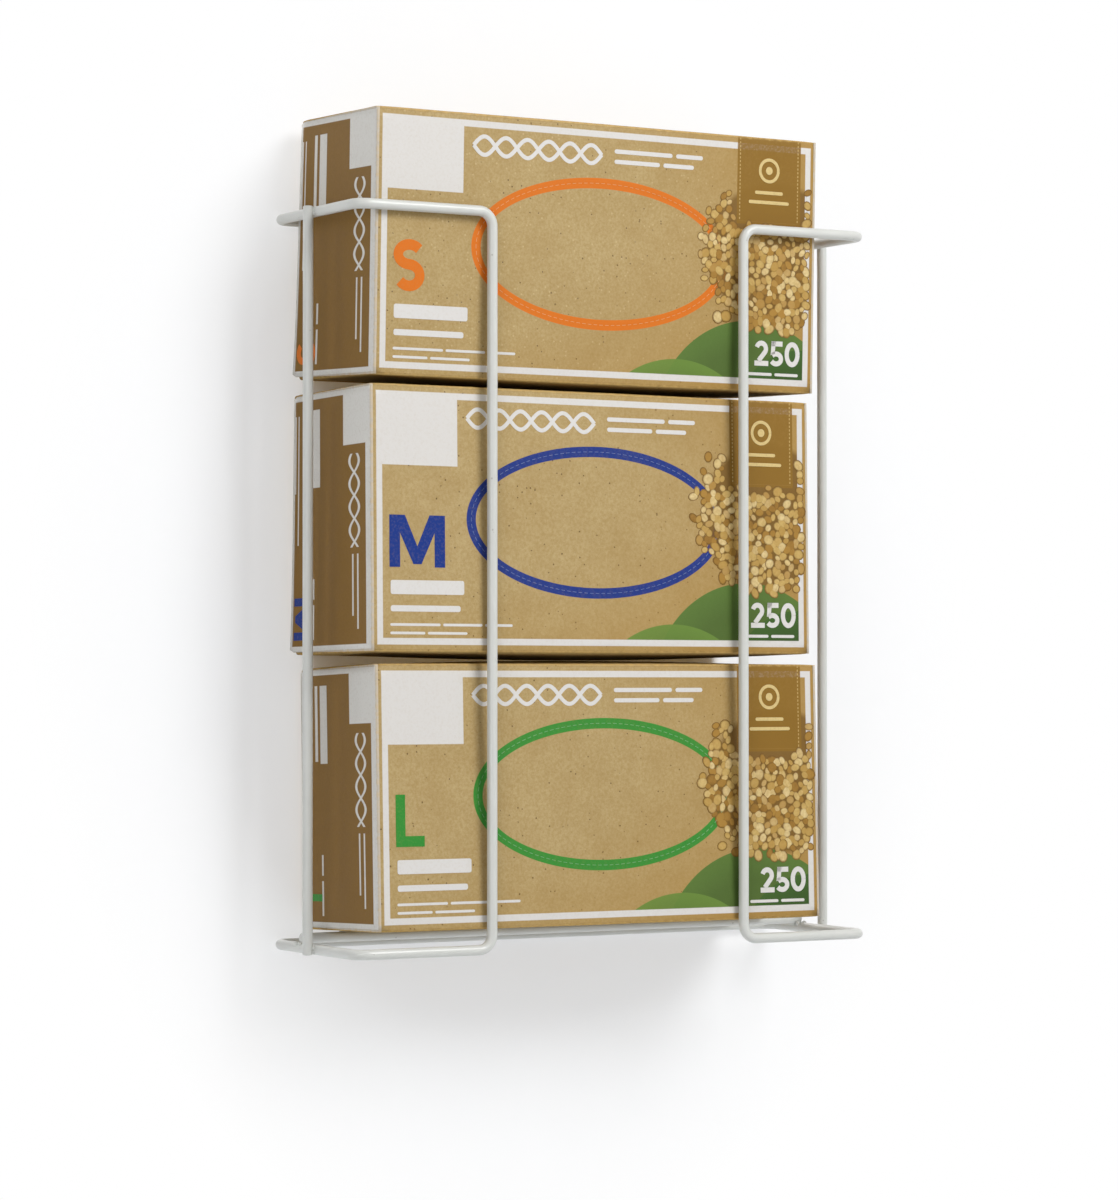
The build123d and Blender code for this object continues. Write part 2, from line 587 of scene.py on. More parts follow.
def cartonPlace(node, angles):
    # From the carton's own millimetres, origin in its middle, to the frame
    lean, roll, turn = (math.radians(a) for a in angles)
    spin = Matrix.Rotation(lean, 4, "X") @ Matrix.Rotation(roll, 4, "Y") @ Matrix.Rotation(turn, 4, "Z")
    back = spin.inverted()
    points = [back @ v.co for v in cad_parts[node].data.vertices]
    low = Vector([min(p[i] for p in points) for i in range(3)])
    high = Vector([max(p[i] for p in points) for i in range(3)])
    size = (high - low) / mm
    crowns = 2 if node != "carton_large" else 1
    size.z -= crowns * box["crown"]
    middle = (low + high) / 2
    middle.z = high.z - (size.z / 2 + box["crown"]) * mm
    return Matrix.Translation(spin @ middle) @ spin @ Matrix.Scale(mm, 4), size


def stations(half, fold, count):
    # Places along one edge of the box, closer together round the folds
    bend = [fold * math.tan(math.radians(a)) for a in (15, 30, 45)]
    flat = half - fold
    inner = [flat * (2 * k / count - 1) for k in range(count + 1)]
    return [-flat - b for b in reversed(bend)] + inner + [flat + b for b in bend]


def closedBox(shape, half, fold, counts):
    # A rounded box as one closed grid; its vertices are kept by their places in the grid
    lines = [stations(half[i], fold, counts[i]) for i in range(3)]
    last = [len(line) - 1 for line in lines]
    kept = {}

    def vertex(index):
        if index not in kept:
            spot = Vector([lines[i][index[i]] for i in range(3)])
            core = Vector([max(-half[i] + fold, min(half[i] - fold, spot[i])) for i in range(3)])
            kept[index] = shape.verts.new(core + (spot - core).normalized() * fold)
        return kept[index]

    for axis in range(3):
        u, v = (axis + 1) % 3, (axis + 2) % 3
        for end in (0, last[axis]):
            for i in range(last[u]):
                for j in range(last[v]):
                    corner = []
                    for du, dv in ((0, 0), (1, 0), (1, 1), (0, 1)):
                        index = [0, 0, 0]
                        index[axis], index[u], index[v] = end, i + du, j + dv
                        corner.append(vertex(tuple(index)))
                    shape.faces.new(corner if end else corner[::-1])


def dented(spot, seed, amount):
    # How far a panel waves in or out
    wave = noise.noise(Vector((spot.x * 0.018, spot.y * 0.03, spot.z * 0.025 + seed * 7.1)))
    ripple = noise.noise(Vector((spot.x * 0.11, spot.y * 0.13, spot.z * 0.12 + seed * 3.3)))
    return amount * (0.8 * wave + 0.5 * ripple) - 0.6 * amount


def cartonBody(shape, size, values, seed, seated):
    half = Vector((size.x / 2 - values["board"], size.y / 2, size.z / 2))
    closedBox(shape, half, values["fold"], values["panelSteps"])
    for v in shape.verts:
        x, y, z = v.co
        across = max(0.0, 1 - (x / half.x) ** 2) * max(0.0, 1 - (y / half.y) ** 2)
        level = max(0.0, abs(z) - half.z + values["fold"]) / values["fold"]
        if z > 0:
            z += values["crown"] * across * level
        elif not seated:
            z -= values["crown"] * across * level
        push = dented(v.co, seed, values["dent"])
        near = [abs(c) / h for c, h in zip(v.co, half)]
        worn = max(0.0, min(near) - values["wornFrom"]) / values["wornOver"]
        out = Vector([c / h if n > values["onPanel"] else 0 for c, h, n in zip((x, y, z), half, near)])
        v.co = Vector((x, y, z)) + out * (push - values["cornerWear"] * worn * worn)


def flapLift(y, z, half, values, lifts):
    # How far an end flap stands off at a place on the end, most at its lower back corner
    t = max(0.0, (y + half.y - values["fold"]) / (2 * half.y - values["fold"] - values["flapBack"]))
    high = max(0.0, min(1.0, (z / half.z + 1) / 2))
    return (lifts[0] + (lifts[1] - lifts[0]) * high ** 0.6) * t ** 2.2


def flapSheet(shape, size, values, side, lifts, seed):
    # The outer end flap: from the front panel round the fold, then back along the end.
    # It's one closed sheet with its cut edges; what it measures flat is kept for the print
    half = size / 2
    fold, board = values["fold"], values["board"] - values["flapThin"]
    reach = half.y - fold
    back = half.y - values["flapBack"]
    route = []
    for k in range(3):
        route.append((half.x - fold - values["flapStart"] * (2 - k) / 2,
                      -half.y - values["flapProud"], 0.0, -1.0))
    for k in range(1, 7):
        a = math.pi / 2 * k / 6
        route.append((half.x - fold + fold * math.sin(a), -half.y + fold - fold * math.cos(a),
                      math.sin(a), -math.cos(a)))
    steps, rows = values["flapSteps"], values["flapRows"]
    for k in range(1, steps + 1):
        route.append((half.x, -reach + (back + reach) * k / steps, 1.0, 0.0))
    lattice = {}
    flat = {}
    for i, (x, y, nx, ny) in enumerate(route):
        t = max(0.0, (y + reach) / (back + reach))
        tall = half.z - values["flapGap"] - values["flapTaper"] * t
        beyond = max(0.0, y - (back - values["flapCorner"]))
        tall -= values["flapCorner"] - math.sqrt(max(0.0, values["flapCorner"] ** 2 - beyond ** 2))
        for j in range(rows + 1):
            z = (2 * j / rows - 1) * tall
            lift = flapLift(y, z, half, values, lifts)
            wave = noise.noise(Vector((y * 0.05, z * 0.03, seed * 5.0)))
            wave = values["flapWave"] * wave * min(1.0, t * 6)
            outward = lift + wave if nx > 0.999 else 0.0  # past the fold
            for layer in (0, 1):
                inward = board * layer
                spot = Vector((x - nx * inward + outward, y - ny * inward, z))
                lattice[i, j, layer] = shape.verts.new((spot.x * side, spot.y, spot.z))
                flat[lattice[i, j, layer]] = Vector((half.x * side, y, z))
    last = len(route) - 1

    def face(material, *keys):
        corners = [lattice[k] for k in keys]
        shape.faces.new(corners if side > 0 else corners[::-1]).material_index = material

    for i in range(last):
        for j in range(rows):
            face(1, (i, j, 0), (i + 1, j, 0), (i + 1, j + 1, 0), (i, j + 1, 0))
            face(2, (i, j, 1), (i, j + 1, 1), (i + 1, j + 1, 1), (i + 1, j, 1))
    for i in range(last):
        face(2, (i, 0, 0), (i, 0, 1), (i + 1, 0, 1), (i + 1, 0, 0))
        face(2, (i, rows, 0), (i + 1, rows, 0), (i + 1, rows, 1), (i, rows, 1))
    for j in range(rows):
        face(2, (0, j, 0), (0, j + 1, 0), (0, j + 1, 1), (0, j, 1))
        face(2, (last, j, 0), (last, j, 1), (last, j + 1, 1), (last, j + 1, 0))
    return flat


def backSeam(shape, size, values):
    # The strip of the back panel that is glued over the panel below it
    low = -size.z / 2 + values["seamInset"]
    high = low + values["seamWidth"]
    wide = size.x / 2 - values["seamInset"]
    narrow = wide - values["seamTaper"]
    y = size.y / 2 - values["seamSunk"]
    outline = [(-wide, low), (wide, low), (narrow, high), (-narrow, high)]
    near = [shape.verts.new((x, y, z)) for x, z in outline]
    far = [shape.verts.new((x, y + values["seamThick"], z)) for x, z in outline]
    faces = [shape.faces.new(near), shape.faces.new(far[::-1])]
    for i in range(4):
        j = (i + 1) % 4
        faces.append(shape.faces.new((near[j], near[i], far[i], far[j])))
    for made in faces:
        made.material_index = 2


# Print: most of it is painted on the board, letters and small forms stand on it as skins of ink

printing = {
    "soft": 0.12,  # half width of a painted edge
    "sunk": 0.15,  # from the board down to a skin's foot
    "lift": 0.035,  # from the front panel up to a skin's top
    "endLift": 0.14,  # and from an end, whose flap waves
    "letterStroke": 0.205,  # share of a letter's height
    "countStroke": 0.2,
}

front = {  # in millimetres from the panel's middle, right and up
    "margin": 3.3,
    "line": 3.0,
    "square": (-116.6, 23.9, -74.6, 57.0),
    "banner": (74.7, 19.0, 111.0, 63.0),
    "hills": [  # centre, radius, colour: discs that rise from the foot of the panel
        ((84.0, -82.0), 55.0, (72, 100, 44)),
        ((42.0, -98.0), 51.0, (90, 116, 50)),
        ((113.0, -80.0), 40.0, (54, 82, 34)),
    ],
    "oval": (70.0, 35.4),
    "ovalBand": 4.9,
    "bars": [  # left, bottom, right, top
        (6.0, 47.4, 38.0, 49.4), (40.0, 47.4, 55.0, 49.4),
        (6.0, 42.6, 31.0, 44.6), (33.0, 42.6, 50.0, 44.6),
        (-109.7, -34.6, -71.5, -28.2),
        (-109.7, -42.4, -73.5, -39.6),
        (-110.0, -48.9, -84.0, -47.7), (-82.6, -48.9, -62.0, -47.7), (-60.6, -48.9, -46.0, -47.7),
        (-110.0, -52.7, -92.0, -51.5), (-90.6, -52.7, -70.0, -51.5),
        (80.0, -52.9, 96.0, -51.5), (97.6, -52.9, 111.0, -51.5),
    ],
    "barRound": 1.0,
    "braid": (-69.5, -1.0, 46.2, 4.2, 22.8),  # from, to, height, half swing, wave length
    "strand": 1.9,
    "strandStep": 0.01,  # how far one strand lies over the middle level and the other under it
    "letterPlace": (-110.2, -22.3),
    "letterTall": 23.6,
    "countPlace": (86.0, -48.2),
    "countTall": 12.0,
}

badge = {  # on the banner
    "level": 45.0,
    "ring": (5.2, 1.5),  # radius and stroke
    "dot": 1.9,
    "bars": ((8.0, 33.6), (11.5, 29.0)),  # half length and level
    "barTall": 1.6,
}

ends = {
    "margins": (4.2, 3.8, 1.8),  # of the brown field, at the front fold, above and below, and behind
    "square": (-34.2, 33.8, -12.4, 58.0),
    "bars": [  # turned bars on an end: towards the back and up
        (-26.2, -50.0, -24.8, -16.0), (-21.6, -44.0, -20.2, -16.0),
        (9.8, 16.0, 16.6, 52.0), (19.0, 17.0, 21.6, 52.0),
        (14.8, -54.0, 16.4, -38.0), (14.8, -35.5, 16.4, -26.0),
        (29.6, -10.0, 30.6, 50.0), (32.4, 14.0, 33.4, 50.0),
    ],
    "braid": (-22.6, -13.0, 29.5, 4.4, 21.0),  # towards the back, from, to, half swing, wave length
    "letterPlace": (32.4, -54.0),
    "letterTall": 16.0,
}

kraft = {  # the board's own tones and those printed on it
    # deep is a deeper board tone, and also painted shade in the creases and on the plain panels
    "deep": tone(150, 118, 62),
    "mid": tone(172, 146, 95),
    "pale": tone(187, 164, 117),
    "fleck": tone(84, 58, 28),
    "lightFleck": tone(224, 204, 160),
    # worn is kraft bared along the folds, and also a painted highlight there
    "worn": tone(203, 168, 100),
    "cut": tone(176, 158, 122),
    "warm": tone(164, 126, 58),
    "heap": tone(118, 86, 36),
    "brown": tone(121, 87, 28),
    "paleBrown": tone(130, 95, 34),
    "gold": tone(136, 101, 36),
    "stitch": tone(212, 184, 122),
    "white": tone(218, 215, 211),
    "endWhite": tone(216, 214, 208),
}


def boardBase(graph, seed):
    # Unbleached board in the carton's own millimetres: fibres, grain, mottling and flecks
    place = graph.node("ShaderNodeAttribute", {"attribute_name": "place"}, out=1)
    moved = graph.node("ShaderNodeVectorMath", {"operation": "ADD"}, {
        0: place, 1: (137.0 * seed, 59.0 * seed, 0.0)})
    fibre = graph.node("ShaderNodeTexNoise", {}, {
        "Vector": moved, "Scale": 0.8, "Detail": 5.0, "Roughness": 0.75})
    mottle = graph.node("ShaderNodeTexNoise", {}, {"Vector": moved, "Scale": 0.07, "Detail": 2.0})
    dots = graph.node("ShaderNodeTexVoronoi", {}, {"Vector": moved, "Scale": 0.42, "Randomness": 1.0})
    drawn = graph.node("ShaderNodeSeparateColor", {}, {0: dots.part(1)})
    colour = blendTones(fibre.below(0.5, 0.13), kraft["pale"], kraft["mid"])
    colour = blendTones(mottle.below(0.47, 0.2) * 0.24, colour, kraft["deep"])
    dark = (dots + fibre * 0.3).below(0.31, 0.05) * drawn.below(0.16, 0.02)
    light = (dots + fibre * 0.3).below(0.33, 0.06) * drawn.part(1).below(0.10, 0.02)
    colour = blendTones(light * 0.3, colour, kraft["lightFleck"])
    colour = blendTones(dark * 0.8, colour, kraft["fleck"])
    return place, colour, fibre, dark


def foldWearAndPaintedLight(graph, colour, place, toFold):
    # Print and skin are rubbed off along the folds, in streaks. The lighter band there is partly that
    # wear and partly a painted highlight on the fold, and the darker line along the crease is painted
    # shade.
    streak = graph.node("ShaderNodeTexNoise", {}, {"Vector": place, "Scale": 0.35, "Detail": 3.0})
    rubAndHighlight = (toFold + streak * 2.2).below(1.75, 0.5)
    creaseShade = abs(toFold - 1.25 + streak * 0.4).below(0.22, 0.15)
    # painted shade: a darker line along each crease, in the deep tone
    colour = blendTones(creaseShade * 0.4, colour, kraft["deep"])
    # the lighter rubbed band: real wear, and a painted highlight on the fold
    return blendTones(rubAndHighlight * 0.75, colour, kraft["worn"])


def boardFinish(graph, colour, fibre, flecks, roughness, gloss=0.18):
    height = fibre - flecks * 0.4
    finishMaterial(graph, colour, roughness + 0.12 * fibre, height, 0.00006, Specular_IOR_Level=gloss)


def frontPrint(name, size, ink, seed):
    material, graph = newMaterial(name)
    place, colour, fibre, flecks = boardBase(graph, seed)
    axes = graph.node("ShaderNodeSeparateXYZ", {}, {0: place})
    u, v = axes, axes.part(2)
    soft = printing["soft"]
    halfU, halfV = size.x / 2, size.z / 2
    bare = fibre.below(0.42, 0.1)  # where ink misses the fibres
    # the board is tinted deeper towards the right, the foot and the margins
    sideways, upward = u / halfU, v / halfV
    warm = u * 0.004 - v * 0.003 + sideways * sideways * 0.28 + upward * upward * 0.25
    colour = blendTones(warm.most(0.0).least(0.75), colour, kraft["warm"])

    a, b = front["oval"]
    outerOval = squares(u / a, v / b).root().below(1.0, 0.002)
    a, b = a - front["ovalBand"], b - front["ovalBand"]
    innerOval = squares(u / a, v / b).root().below(1.0, 0.002)
    ring = outerOval * (1 - innerOval)
    colour = blendTones(ring * (0.98 - 0.1 * bare), colour, tone(*ink))

    # a white line runs round the panel; what is drawn last lies on top
    a, b = halfU - front["margin"], halfV - front["margin"]
    outer = boxDistance(u, v, (-a, -b, a, b)).below(0.0, soft)
    a, b = a - front["line"], b - front["line"]
    within = boxDistance(u, v, (-a, -b, a, b)).below(0.0, soft)
    (middleU, middleV), (reachU, reachV) = heap["middle"], heap["reach"]
    ground = squares((u - middleU) / reachU, (v - middleV) / reachV)
    under = ground.below(*heap["ground"]) * outer
    colour = blendTones(under * 0.9, colour, kraft["heap"])
    for (cu, cv), radius, green in front["hills"]:
        away = squares(u - cu, v - cv).root()
        hill = away.below(radius, soft) * within
        shade = (away / radius + fibre * 0.1).below(0.93, 0.14)
        leaf = blendTones(shade, tone(*[min(255, c * 1.16) for c in green]), tone(*green))
        colour = blendTones(hill * 0.96, colour, leaf)
    square = boxDistance(u, v, front["square"]).below(0.0, soft)
    white = (outer * (1 - within)).most(square)
    colour = blendTones(white * (0.97 - 0.10 * bare), colour, kraft["white"])

    toBanner = boxDistance(u, v, front["banner"])
    banner = toBanner.below(0.0, soft)
    colour = blendTones(banner * (0.97 - 0.15 * bare), colour, kraft["gold"])
    seam = abs(toBanner + 1.6).below(0.28, 0.12)
    stitch = v.pingPong(0.9).below(0.5, 0.1) * seam * banner
    colour = blendTones(stitch * 0.6, colour, kraft["stitch"])
    toFold = (halfU - abs(u)).least(halfV - abs(v))
    colour = foldWearAndPaintedLight(graph, colour, place, toFold)
    boardFinish(graph, colour, fibre, flecks, 0.46)
    return material


def endPrint(name, size, seed):
    material, graph = newMaterial(name)
    place, colour, fibre, flecks = boardBase(graph, seed)
    axes = graph.node("ShaderNodeSeparateXYZ", {}, {0: place})
    u, v = axes.part(1), axes.part(2)
    halfU, halfV = size.y / 2, size.z / 2
    soft = printing["soft"]
    ahead, beside, behind = ends["margins"]
    field = (-halfU + ahead, -halfV + beside, halfU - box["flapBack"] - behind, halfV - beside)
    brown = boxDistance(u, v, field).below(0.0, soft)
    white = (1 - brown).most(boxDistance(u, v, ends["square"]).below(0.0, soft))
    for area in ends["bars"]:
        white = white.most(boxDistance(u, v, area).below(0.0, soft) * 0.95)
    middle, low, high, swing, length = ends["braid"]
    sway = (v * (2 * math.pi / length)).sine() * swing
    along = abs(v - (low + high) / 2).below((high - low) / 2, soft)
    strand = abs(u - middle - sway).least(abs(u - middle + sway)).below(1.05, 0.2)
    white = white.most(strand * along)
    tint = blendTones(fibre.below(0.5, 0.25), kraft["brown"], kraft["paleBrown"])
    colour = blendTones(0.97 - 0.12 * flecks, colour, tint)
    colour = blendTones(white * (0.97 - 0.15 * fibre.below(0.4, 0.1)), colour, kraft["endWhite"])
    colour = foldWearAndPaintedLight(graph, colour, place, (halfU + u + 0.9).least(halfV - abs(v) - 0.2))
    boardFinish(graph, colour, fibre, flecks, 0.42)
    return material


def plainBoard(name, size, seed):
    # Top, bottom, back and the flaps folded in, darkened all over as painted shade
    material, graph = newMaterial(name)
    place, colour, fibre, flecks = boardBase(graph, seed + 20)
    axes = graph.node("ShaderNodeSeparateXYZ", {}, {0: place})
    x, y, z = (size[i] / 2 - abs(axes.part(i)) for i in range(3))
    # painted shade: these panels are darkened towards the deep tone all over, for the shade on the tops
    # between the cartons
    colour = blendTones(0.30 + 0.2 * fibre, colour, kraft["deep"])
    # the second nearest panel is the one across the fold
    toFold = x.least(y).most(y.least(z)).most(x.least(z))
    colour = foldWearAndPaintedLight(graph, colour, place, toFold)
    boardFinish(graph, colour, fibre, flecks, 0.72, 0.04)
    return material


def cutBoard():
    material, graph = newMaterial("cutBoard")
    colour, fibre, flecks = boardBase(graph, 9)[1:]
    colour = blendTones(0.55 + 0.25 * fibre, colour, kraft["cut"])
    boardFinish(graph, colour, fibre, flecks, 0.7)
    return material


def inkPaint(name, colour, worn=0.10):
    # Ink laid on board: the fibres show through it a little
    material, graph = newMaterial(name)
    spot = graph.node("ShaderNodeTexCoord", out=3)
    fibre = graph.node("ShaderNodeTexNoise", {}, {"Vector": spot, "Scale": 900.0, "Detail": 4.0})
    mixed = blendTones(fibre.below(0.40, 0.12) * worn, tone(*colour), kraft["mid"])
    finishMaterial(graph, mixed, 0.42 + 0.12 * fibre, fibre, 0.00002, Specular_IOR_Level=0.2)
    return material


heap = {  # a scatter of printed pebbles, thinning out at its rim
    "middle": (97.0, 5.0),
    "reach": (44.0, 40.0),
    "area": (52.0, -32.0, 115.4, 56.0),
    "ground": (0.74, 0.06),  # where the dark ground under them ends, in squares of the reach
    "fade": (1.08, 3.0),  # where the pebbles end, the same way, and how fast they thin out
    "clearance": 0.55,  # from the banner, in the largest pebble's sizes
    "spacing": 2.75,
    "size": (1.9, 3.5),
    "thick": 0.05,
    "seed": 11,
}

cutEdge = cutBoard()
whiteInk = inkPaint("whiteInk", (218, 215, 211))
paleInk = inkPaint("paleInk", (214, 190, 130), 0.3)


def setPlaces(mesh, places):
    layer = mesh.attributes.new("place", "FLOAT_VECTOR", "POINT")
    layer.data.foreach_set("vector", [c for p in places for c in p])


def makeBoard(node, angles, lifts, seed, ink):
    place, size = cartonPlace(node, angles)
    shape = bmesh.new()
    cartonBody(shape, size, box, seed, node == "carton_large")
    for made in shape.faces:
        made.normal_update()
        made.material_index = 0 if made.normal.y < -0.75 and made.calc_center_median().y < 0 else 3
    flat = {v: v.co.copy() for v in shape.verts}
    backSeam(shape, size, box)
    flat.update(flapSheet(shape, size, box, -1, lifts, seed))
    flat.update(flapSheet(shape, size, box, 1, box["rightLifts"], seed + 10))
    shape.verts.index_update()
    places = [flat.get(v, v.co).copy() for v in shape.verts]
    for v in shape.verts:
        v.co = place @ v.co
    mesh = bpy.data.meshes.new(node + "Board")
    shape.to_mesh(mesh)
    shape.free()
    setPlaces(mesh, places)
    short = shortName(node)
    for material in (frontPrint(short + "Front", size, ink, seed), endPrint(short + "End", size, seed),
                     cutEdge, plainBoard(short + "Plain", size, seed)):
        mesh.materials.append(material)
    addPiece(short + "Board", mesh, [node])
    return place, size


# Ink that stands on the board: block letters, figures, bars and a braid, drawn as strokes

def arc(middle, radii, start, stop, steps=16):
    turns = [math.radians(start + (stop - start) * k / steps) for k in range(steps + 1)]
    return [(middle[0] + radii[0] * math.cos(t), middle[1] + radii[1] * math.sin(t)) for t in turns]


def blockLetter(name, stroke):
    # Outlines and centrelines of a letter one unit tall, and how wide it is
    h = stroke / 2
    if name == "M":
        outline = [(0, 0), (0, 1), (0.34, 1), (0.61, 0.40), (0.88, 1), (1.22, 1), (1.22, 0), (0.99, 0),
                   (0.99, 0.66), (0.70, 0.06), (0.52, 0.06), (0.23, 0.66), (0.23, 0)]
        return [outline], [], 1.22
    if name == "L":
        return [[(0, 0), (0, 1), (stroke, 1), (stroke, stroke), (0.62, stroke), (0.62, 0)]], [], 0.62
    if name == "S":
        upper, lower = 0.24 * (1 - stroke), 0.26 * (1 - stroke)
        line = arc((0.35, 1 - h - upper), (0.35 - h, upper), 35, 270)
        line += arc((0.34, h + lower), (0.34 - h, lower), 90, -145)[1:]
        return [], [line], 0.69
    if name == "2":
        line = arc((0.32, 0.78 - h), (0.32 - h, 0.22), 165, -35) + [(stroke, stroke)]
        return [[(0, 0), (0, stroke), (0.66, stroke), (0.66, 0)]], [line], 0.66
    if name == "5":
        line = arc((0.30, 0.30), (0.34 - h, 0.30 - h), 138, -150)
        top = [(0.08, 1 - stroke), (0.08, 1), (0.60, 1), (0.60, 1 - stroke)]
        stem = [(0.04, 0.44), (0.08, 1), (0.08 + stroke, 1), (0.03 + stroke, 0.50)]
        return [top, stem], [line], 0.64
    return [], [arc((0.36, 0.5), (0.36 - h, 0.5 - h), 0, 360, 32)], 0.72


def ribbon(line, width):
    # Closed quads along a centreline, each from one pair of edge points to the next
    pairs = []
    last = len(line) - 1
    for i, (x, y) in enumerate(line):
        ahead, behind = line[min(i + 1, last)], line[max(i - 1, 0)]
        dx, dy = ahead[0] - behind[0], ahead[1] - behind[1]
        size = math.hypot(dx, dy)
        nx, ny = -dy / size * width / 2, dx / size * width / 2
        pairs.append(((x + nx, y + ny), (x - nx, y - ny)))
    return [p[0] for p in pairs] + [p[1] for p in reversed(pairs)]


def roundedBar(area, radius, steps=4):
    left, bottom, right, top = area
    radius = min(radius, (right - left) / 2, (top - bottom) / 2)
    left, bottom, right, top = left + radius, bottom + radius, right - radius, top - radius
    points = []
    for turn, middle in enumerate(((right, top), (left, top), (left, bottom), (right, bottom))):
        points += arc(middle, (radius, radius), 90 * turn, 90 * turn + 90, steps)
    return points


def addPrism(shape, points, high, toCarton, index):
    # A closed skin of ink over an outline
    base = [shape.verts.new(toCarton @ Vector((u, v, -printing["sunk"]))) for u, v in points]
    top = [shape.verts.new(toCarton @ Vector((u, v, high))) for u, v in points]
    made = [shape.faces.new(base[::-1]), shape.faces.new(top)]
    count = len(points)
    for i in range(count):
        j = (i + 1) % count
        made.append(shape.faces.new((base[i], base[j], top[j], top[i])))
    for face in made:
        face.material_index = index
    bmesh.ops.recalc_face_normals(shape, faces=made)


def addLetters(shape, text, corner, tall, stroke, high, toCarton, index):
    x, y = corner
    for name in text:
        outlines, lines, wide = blockLetter(name, stroke)
        outlines = [[(x + u * tall, y + v * tall) for u, v in points] for points in outlines]
        lines = [[(x + u * tall, y + v * tall) for u, v in line] for line in lines]
        for points in outlines + [ribbon(line, stroke * tall) for line in lines]:
            addPrism(shape, points, high, toCarton, index)
        x += (wide + 0.07) * tall


def frontPlane(size):
    # From the front panel's right, up and out to the carton
    return Matrix.Translation((0, -size.y / 2, 0)) @ Matrix.Rotation(math.pi / 2, 4, "X")


def makeInk(node, place, size, ink, letter, lifts):
    shape = bmesh.new()
    high, stroke = printing["lift"], printing["letterStroke"]
    onFront = frontPlane(size)
    for area in front["bars"]:
        addPrism(shape, roundedBar(area, front["barRound"]), high, onFront, 0)
    start, stop, level, swing, length = front["braid"]
    steps = 96
    for turn in (1, -1):
        line = []
        for k in range(steps + 1):
            u = start + (stop - start) * k / steps
            line.append((u, level + turn * swing * math.sin(2 * math.pi * (u - start) / length)))
        strand = ribbon(line, front["strand"])
        addPrism(shape, strand, high + front["strandStep"] * turn, onFront, 0)
    addLetters(shape, letter, front["letterPlace"], front["letterTall"], stroke, high, onFront, 1)
    addLetters(shape, "250", front["countPlace"], front["countTall"], printing["countStroke"],
               high, onFront, 0)

    middle = (front["banner"][0] + front["banner"][2]) / 2
    centre = (middle, badge["level"])
    radius, ringStroke = badge["ring"]
    ring = ribbon(arc(centre, (radius, radius), 0, 360, 36), ringStroke)
    addPrism(shape, ring, high, onFront, 2)
    addPrism(shape, arc(centre, (badge["dot"], badge["dot"]), 0, 345, 23), high, onFront, 2)
    for half, level in badge["bars"]:
        area = (middle - half, level, middle + half, level + badge["barTall"])
        addPrism(shape, roundedBar(area, badge["barTall"] / 2), high, onFront, 2)

    # the size again on both ends, turned to read downwards
    back, foot = ends["letterPlace"]
    tall = ends["letterTall"]
    for side, standing in ((-1, lifts), (1, box["rightLifts"])):
        start = foot + blockLetter(letter, stroke)[2] * tall if side < 0 else foot
        onEnd = Matrix(((0, 0, side, side * size.x / 2), (0, -1, 0, back),
                        (side, 0, 0, start), (0, 0, 0, 1)))
        others = set(shape.verts)
        addLetters(shape, letter, (0, 0), tall, stroke, printing["endLift"], onEnd, 1)
        for v in shape.verts:
            if v not in others:
                v.co.x += side * flapLift(v.co.y, v.co.z, size / 2, box, standing)
    for v in shape.verts:
        v.co = place @ v.co
    mesh = bpy.data.meshes.new(node + "Ink")
    shape.to_mesh(mesh)
    shape.free()
    short = shortName(node)
    for material in (whiteInk, inkPaint(short + "Ink", ink), paleInk):
        mesh.materials.append(material)
    addPiece(short + "Ink", mesh, smooth=False)


tear = {
    "dashes": 104,
    "dashLength": 1.9,
    "dashWidth": 0.26,
    "dashDepth": 0.10,
    "pale": (215, 0.4),  # the level that the ink is paled towards, and how far
}


def tearLine(node, place, size, ink):
    # The dashes of the tear-out panel, cut along the middle of the printed band
    mesh = bpy.data.meshes.new("tearRoute")
    mesh.from_pydata([(0.0, 0.0, 0.0)], [], [])
    a, b = (half - front["ovalBand"] / 2 for half in front["oval"])
    short = shortName(node)
    level, share = tear["pale"]
    dashPaint = inkPaint(short + "Dash", [c + (level - c) * share for c in ink], 0.3)

    def build(graph, start, given):
        ring = graph.node("GeometryNodeCurvePrimitiveCircle", {}, {"Resolution": 256, "Radius": 1.0})
        oval = graph.node("GeometryNodeTransform", {}, {0: ring, "Scale": (a, b, 1.0)})
        spaced = graph.node("GeometryNodeResampleCurve", {}, {"Curve": oval, "Count": given["Dashes"]})
        dash = graph.node("GeometryNodeMeshCube", {}, {"Size": graph.node(
            "ShaderNodeCombineXYZ", {}, {0: given["Length"], 1: given["Width"], 2: given["Depth"]})})
        along = graph.node("GeometryNodeInputTangent")
        turn = graph.node("FunctionNodeAlignRotationToVector", {"axis": "X"}, {"Vector": along})
        placed = graph.node("GeometryNodeInstanceOnPoints", {}, {
            "Points": spaced, "Instance": dash, "Rotation": turn})
        whole = graph.node("GeometryNodeRealizeInstances", {}, {0: placed})
        return graph.node("GeometryNodeSetMaterial", {}, {0: whole, "Material": dashPaint})

    inputs = {"Dashes": tear["dashes"], "Length": tear["dashLength"],
              "Width": tear["dashWidth"], "Depth": tear["dashDepth"]}
    made = runTree(short + "TearLine", mesh, inputs, build)
    made.transform(place @ frontPlane(size))
    addPiece(short + "TearLine", made, smooth=False)


